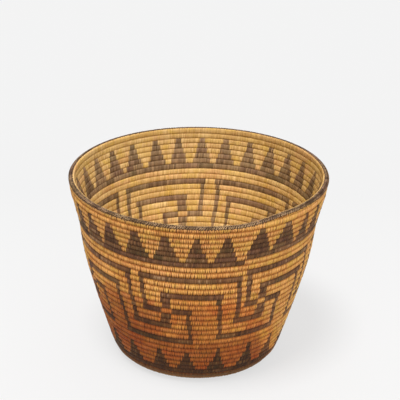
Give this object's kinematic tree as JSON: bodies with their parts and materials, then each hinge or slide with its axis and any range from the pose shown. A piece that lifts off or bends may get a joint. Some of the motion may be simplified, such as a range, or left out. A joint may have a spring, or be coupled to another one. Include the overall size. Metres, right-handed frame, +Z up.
{
  "type": "storage basket",
  "caption": "Coiled storage basket with a flat base, a flaring round wall of stacked coils and a braided rim, open at the top.",
  "frame": {"origin": "middle of the underside of the base, on the surface it stands on", "axes": "+Z up through the open mouth; the pictured front is at -Y and the seam, where each round of the coil ends, is at the right, towards +X"},
  "size_m": [0.2623, 0.2624, 0.1989],
  "materials": {
    "start_knot": "matte plaited plant fibre",
    "willow_base": "matte willow stitches, worn and browned",
    "willow_heel": "satin willow stitches, browned with handling",
    "willow_middle": "satin willow stitches with dark stitches in bands",
    "willow_upper": "satin willow stitches with dark stitches in points",
    "devils_claw_round": "satin dark stitches all round",
    "devils_claw_braid": "satin dark braid, worn along its top"
  },
  "bodies": {
    "root": {"start_knot": "start_knot", "base_round_01": "willow_base", "base_round_02": "willow_base", "base_round_03": "willow_base", "base_round_04": "willow_base", "base_round_05": "willow_base", "base_round_06": "willow_base", "base_round_07": "willow_base", "base_round_08": "willow_base", "base_round_09": "willow_base", "base_round_10": "willow_base", "base_round_11": "willow_base", "base_round_12": "willow_base", "base_round_13": "willow_base", "wall_round_01": "willow_heel", "wall_round_02": "willow_heel", "wall_round_03": "devils_claw_round", "wall_round_04": "willow_heel", "wall_round_05": "willow_heel", "wall_round_06": "willow_heel", "wall_round_07": "willow_heel", "wall_round_08": "willow_heel", "wall_round_09": "willow_middle", "wall_round_10": "willow_middle", "wall_round_11": "willow_middle", "wall_round_12": "willow_middle", "wall_round_13": "willow_middle", "wall_round_14": "willow_middle", "wall_round_15": "willow_middle", "wall_round_16": "willow_middle", "wall_round_17": "willow_middle", "wall_round_18": "willow_middle", "wall_round_19": "willow_middle", "wall_round_20": "willow_middle", "wall_round_21": "willow_middle", "wall_round_22": "willow_middle", "wall_round_23": "willow_upper", "wall_round_24": "willow_upper", "wall_round_25": "devils_claw_round", "wall_round_26": "willow_upper", "wall_round_27": "willow_upper", "wall_round_28": "willow_upper", "wall_round_29": "willow_upper", "wall_round_30": "willow_upper", "wall_round_31": "willow_upper", "wall_round_32": "willow_upper", "rim_braid": "devils_claw_braid"}
  },
  "joints": []
}
